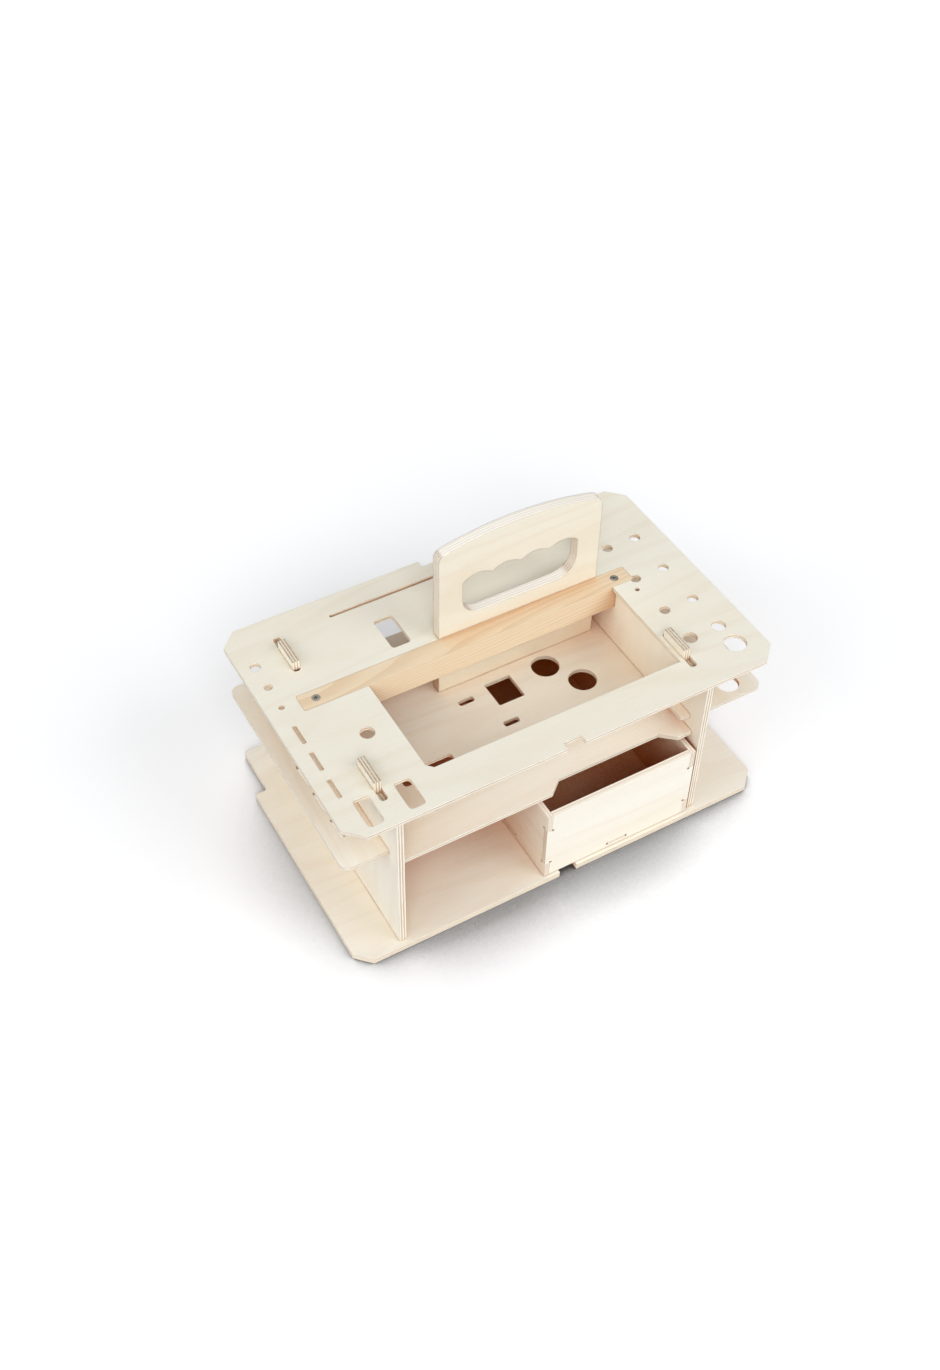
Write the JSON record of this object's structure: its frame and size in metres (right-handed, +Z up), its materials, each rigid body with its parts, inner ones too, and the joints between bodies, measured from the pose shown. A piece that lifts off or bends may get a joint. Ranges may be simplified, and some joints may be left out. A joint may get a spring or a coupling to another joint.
{
  "type": "tool tote insert",
  "caption": "Open plywood tool tote with slotted shelves on two end panels, a rail with an upright hand grip, and a pull-out drawer.",
  "frame": {"origin": "centre of the base plate's outline on the surface it stands on", "axes": "+X to the right along the length, +Y from the drawer's front to the back, +Z up"},
  "size_m": [0.38, 0.241, 0.2529],
  "materials": {
    "base_plate": "sanded birch plywood, clear matt",
    "left_end_panel": "sanded birch plywood, clear matt",
    "right_end_panel": "sanded birch plywood, clear matt",
    "rear_panel": "sanded birch plywood, clear matt",
    "left_wing_shelf": "sanded birch plywood, clear matt",
    "right_wing_shelf": "sanded birch plywood, clear matt",
    "inner_shelf": "sanded birch plywood, clear matt",
    "top_plate": "sanded birch plywood, clear matt",
    "handle_rail": "sanded solid softwood",
    "handle_plate": "sanded birch plywood, clear matt",
    "rail_screws": "bright zinc",
    "handle_screws": "bright zinc",
    "drawer_front": "sanded birch plywood, clear matt",
    "drawer_back": "sanded birch plywood, clear matt",
    "drawer_left_side": "sanded birch plywood, clear matt",
    "drawer_right_side": "sanded birch plywood, clear matt",
    "drawer_bottom": "sanded birch plywood, clear matt"
  },
  "bodies": {
    "tote": {"base_plate": "base_plate", "left_end_panel": "left_end_panel", "right_end_panel": "right_end_panel", "rear_panel": "rear_panel", "left_wing_shelf": "left_wing_shelf", "right_wing_shelf": "right_wing_shelf", "inner_shelf": "inner_shelf", "top_plate": "top_plate", "handle_rail": "handle_rail", "handle_plate": "handle_plate", "rail_screws": "rail_screws", "handle_screws": "handle_screws"},
    "drawer": {"drawer_front": "drawer_front", "drawer_back": "drawer_back", "drawer_left_side": "drawer_left_side", "drawer_right_side": "drawer_right_side", "drawer_bottom": "drawer_bottom"}
  },
  "joints": [
    {"name": "drawer_slide", "type": "slide", "parent": "tote", "child": "drawer", "axis": [0, -1, 0], "range_m": [0, 0.18]}
  ]
}
